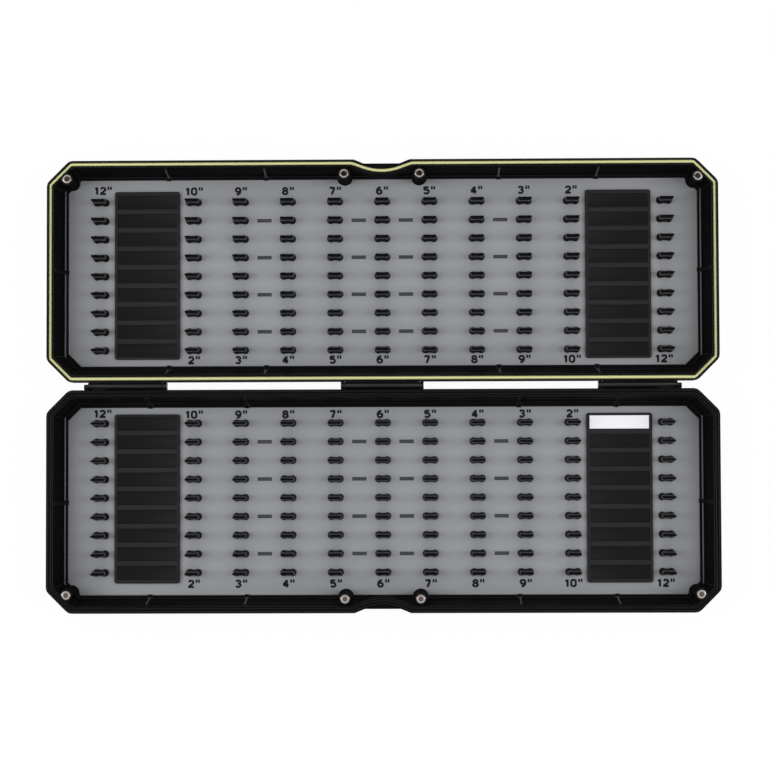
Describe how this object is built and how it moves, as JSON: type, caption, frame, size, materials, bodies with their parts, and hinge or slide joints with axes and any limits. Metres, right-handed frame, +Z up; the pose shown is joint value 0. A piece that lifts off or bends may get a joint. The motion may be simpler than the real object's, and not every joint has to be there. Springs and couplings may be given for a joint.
{
  "type": "hooklength box",
  "caption": "Slim hinged rigid case for made-up fishing hooklengths, with peg boards, label panels, rubber seal and magnetic closure, shown fully open.",
  "frame": {"origin": "on the ground under the hinge axis, half way along the case, with the case open flat", "axes": "+X along the case and the hinge axis, +Y from the hinge towards the lid, +Z up out of the open halves"},
  "size_m": [0.356, 0.24, 0.0228],
  "materials": {
    "black_moulding": "gloss",
    "grey_moulding": "fine matte",
    "peg_black": "satin",
    "panel_black": "satin",
    "seal_rubber": "matte",
    "label_card": "matte",
    "magnet_nickel": "polished",
    "pin_steel": "plain"
  },
  "bodies": {
    "base": {"base_shell": "black_moulding", "base_peg_board": "grey_moulding", "base_label_card": "label_card", "base_magnets": "magnet_nickel", "base_label_panel_left": "panel_black", "base_label_panel_right": "panel_black", "hinge_pin_left": "pin_steel", "hinge_pin_centre": "pin_steel", "hinge_pin_right": "pin_steel", "base_pegs_12in": "peg_black", "base_pegs_10in": "peg_black", "base_pegs_09in": "peg_black", "base_pegs_08in": "peg_black", "base_pegs_07in": "peg_black", "base_pegs_06in": "peg_black", "base_pegs_05in": "peg_black", "base_pegs_04in": "peg_black", "base_pegs_03in": "peg_black", "base_pegs_02in": "peg_black", "base_pegs_00in": "peg_black"},
    "lid": {"lid_shell": "black_moulding", "lid_seal": "seal_rubber", "lid_peg_board": "grey_moulding", "lid_magnets": "magnet_nickel", "lid_label_panel_left": "panel_black", "lid_label_panel_right": "panel_black", "lid_pegs_12in": "peg_black", "lid_pegs_10in": "peg_black", "lid_pegs_09in": "peg_black", "lid_pegs_08in": "peg_black", "lid_pegs_07in": "peg_black", "lid_pegs_06in": "peg_black", "lid_pegs_05in": "peg_black", "lid_pegs_04in": "peg_black", "lid_pegs_03in": "peg_black", "lid_pegs_02in": "peg_black", "lid_pegs_00in": "peg_black"}
  },
  "joints": [
    {"name": "lid_hinge", "type": "hinge", "parent": "base", "child": "lid", "pos_m": [0, 0, 0.021], "axis": [1, 0, 0], "range_deg": [0, 180]}
  ]
}
